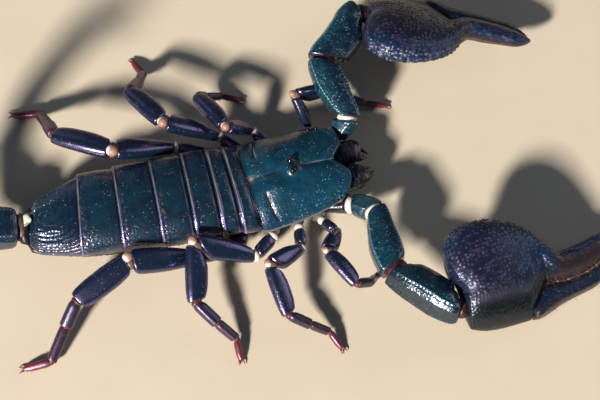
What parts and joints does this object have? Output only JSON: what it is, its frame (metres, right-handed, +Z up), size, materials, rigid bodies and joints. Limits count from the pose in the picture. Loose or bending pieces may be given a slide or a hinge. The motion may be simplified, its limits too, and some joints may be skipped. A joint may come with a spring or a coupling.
{
  "type": "emperor scorpion",
  "caption": "Still life-size scorpion standing with broad rounded claws spread, segmented back and an arched tail with a curved sting.",
  "frame": {"origin": "middle of the footprint at the floor, below the animal", "axes": "+X towards the claws, the way the animal faces; +Y towards its left; +Z up"},
  "size_m": [0.193, 0.1058, 0.0543],
  "materials": {
    "teal_shell": "glossy dark teal-blue shell, finely granular",
    "navy_shell": "smooth glossy blue-black shell with violet sheen",
    "hand_shell": "slate-violet shell set with rounded granules",
    "red_shell": "glossy dark red-brown shell",
    "soft_membrane": "soft folded membrane between the plates",
    "eye_lens": "polished black lens"
  },
  "bodies": {
    "root": {"belly": "soft_membrane", "carapace": "teal_shell", "chelicera_left": "navy_shell", "chelicera_right": "navy_shell", "eye_left": "eye_lens", "eye_right": "eye_lens", "leg_left_1_femur": "navy_shell", "leg_left_1_foot": "red_shell", "leg_left_1_patella": "navy_shell", "leg_left_2_femur": "navy_shell", "leg_left_2_foot": "red_shell", "leg_left_2_patella": "navy_shell", "leg_left_3_femur": "navy_shell", "leg_left_3_foot": "red_shell", "leg_left_3_patella": "navy_shell", "leg_left_4_femur": "navy_shell", "leg_left_4_foot": "red_shell", "leg_left_4_patella": "navy_shell", "leg_right_1_femur": "navy_shell", "leg_right_1_foot": "red_shell", "leg_right_1_patella": "navy_shell", "leg_right_2_femur": "navy_shell", "leg_right_2_foot": "red_shell", "leg_right_2_patella": "navy_shell", "leg_right_3_femur": "navy_shell", "leg_right_3_foot": "red_shell", "leg_right_3_patella": "navy_shell", "leg_right_4_femur": "navy_shell", "leg_right_4_foot": "red_shell", "leg_right_4_patella": "navy_shell", "metasoma_1": "teal_shell", "metasoma_2": "teal_shell", "metasoma_3": "teal_shell", "metasoma_4": "teal_shell", "metasoma_5": "teal_shell", "palp_left_coxa": "navy_shell", "palp_left_femur": "teal_shell", "palp_left_manus": "hand_shell", "palp_left_movable_finger": "hand_shell", "palp_left_patella": "teal_shell", "palp_left_trochanter": "teal_shell", "palp_right_coxa": "navy_shell", "palp_right_femur": "teal_shell", "palp_right_manus": "hand_shell", "palp_right_movable_finger": "hand_shell", "palp_right_patella": "teal_shell", "palp_right_trochanter": "teal_shell", "pecten_left": "red_shell", "pecten_right": "red_shell", "prosoma_base": "navy_shell", "sting": "red_shell", "telson": "red_shell", "tergite_1": "teal_shell", "tergite_2": "teal_shell", "tergite_3": "teal_shell", "tergite_4": "teal_shell", "tergite_5": "teal_shell", "tergite_6": "teal_shell", "tergite_7": "teal_shell"}
  },
  "joints": []
}
